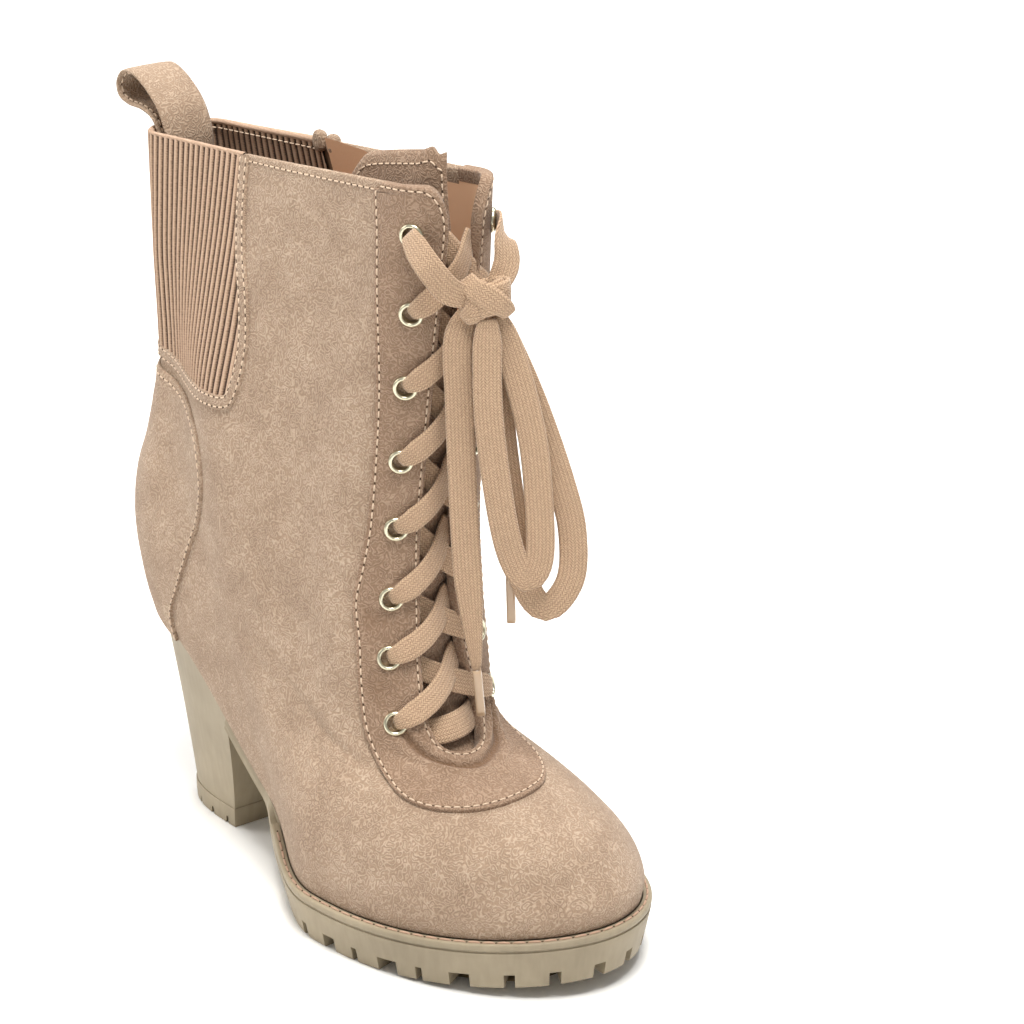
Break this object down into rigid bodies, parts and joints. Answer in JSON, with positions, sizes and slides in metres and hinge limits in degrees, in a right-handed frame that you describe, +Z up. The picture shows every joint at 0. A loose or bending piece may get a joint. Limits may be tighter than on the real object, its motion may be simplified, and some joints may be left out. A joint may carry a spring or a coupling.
{
  "type": "lug sole ankle boot",
  "caption": "High block-heel lace-up ankle boot with lugged platform sole, ribbed gore at the back, inner side zip and rear pull strap.",
  "frame": {"origin": "middle of the heel's flat underside, on the floor", "axes": "+X towards the toe, +Y towards the inner side of this right boot, +Z up"},
  "size_m": [0.2361, 0.0972, 0.2442],
  "materials": {
    "sole_rubber": "matt moulded",
    "suede": "napped faux suede",
    "lining": "smooth satin lining",
    "elastic": "ribbed elastic",
    "zip_metal": "bronzed",
    "eyelet_metal": "pale polished",
    "lace_cotton": "woven",
    "aglet_film": "clear film"
  },
  "bodies": {
    "root": {"outsole": "sole_rubber", "welt": "sole_rubber", "heel": "sole_rubber", "heel_lift": "sole_rubber", "insole": "lining", "upper": "suede", "facing": "suede", "heel_counter": "suede", "gore": "elastic", "zip": "zip_metal", "zip_slider": "zip_metal", "pull_loop": "suede", "tongue": "suede", "eyelet_outer_1": "eyelet_metal", "eyelet_inner_1": "eyelet_metal", "eyelet_outer_2": "eyelet_metal", "eyelet_inner_2": "eyelet_metal", "eyelet_outer_3": "eyelet_metal", "eyelet_inner_3": "eyelet_metal", "eyelet_outer_4": "eyelet_metal", "eyelet_inner_4": "eyelet_metal", "eyelet_outer_5": "eyelet_metal", "eyelet_inner_5": "eyelet_metal", "eyelet_outer_6": "eyelet_metal", "eyelet_inner_6": "eyelet_metal", "eyelet_outer_7": "eyelet_metal", "eyelet_inner_7": "eyelet_metal", "eyelet_outer_8": "eyelet_metal", "eyelet_inner_8": "eyelet_metal", "lace_crossing_7": "lace_cotton", "lace_crossing_6": "lace_cotton", "lace_crossing_5": "lace_cotton", "lace_crossing_4": "lace_cotton", "lace_crossing_3": "lace_cotton", "lace_crossing_2": "lace_cotton", "lace_crossing_1": "lace_cotton", "lace_bar": "lace_cotton", "lace_knot": "lace_cotton", "lace_lead_outer": "lace_cotton", "lace_lead_inner": "lace_cotton", "lace_end_1": "lace_cotton", "lace_end_2": "lace_cotton", "lace_loop_1": "lace_cotton", "lace_loop_2": "lace_cotton", "aglet_1": "aglet_film", "aglet_2": "aglet_film"}
  },
  "joints": []
}
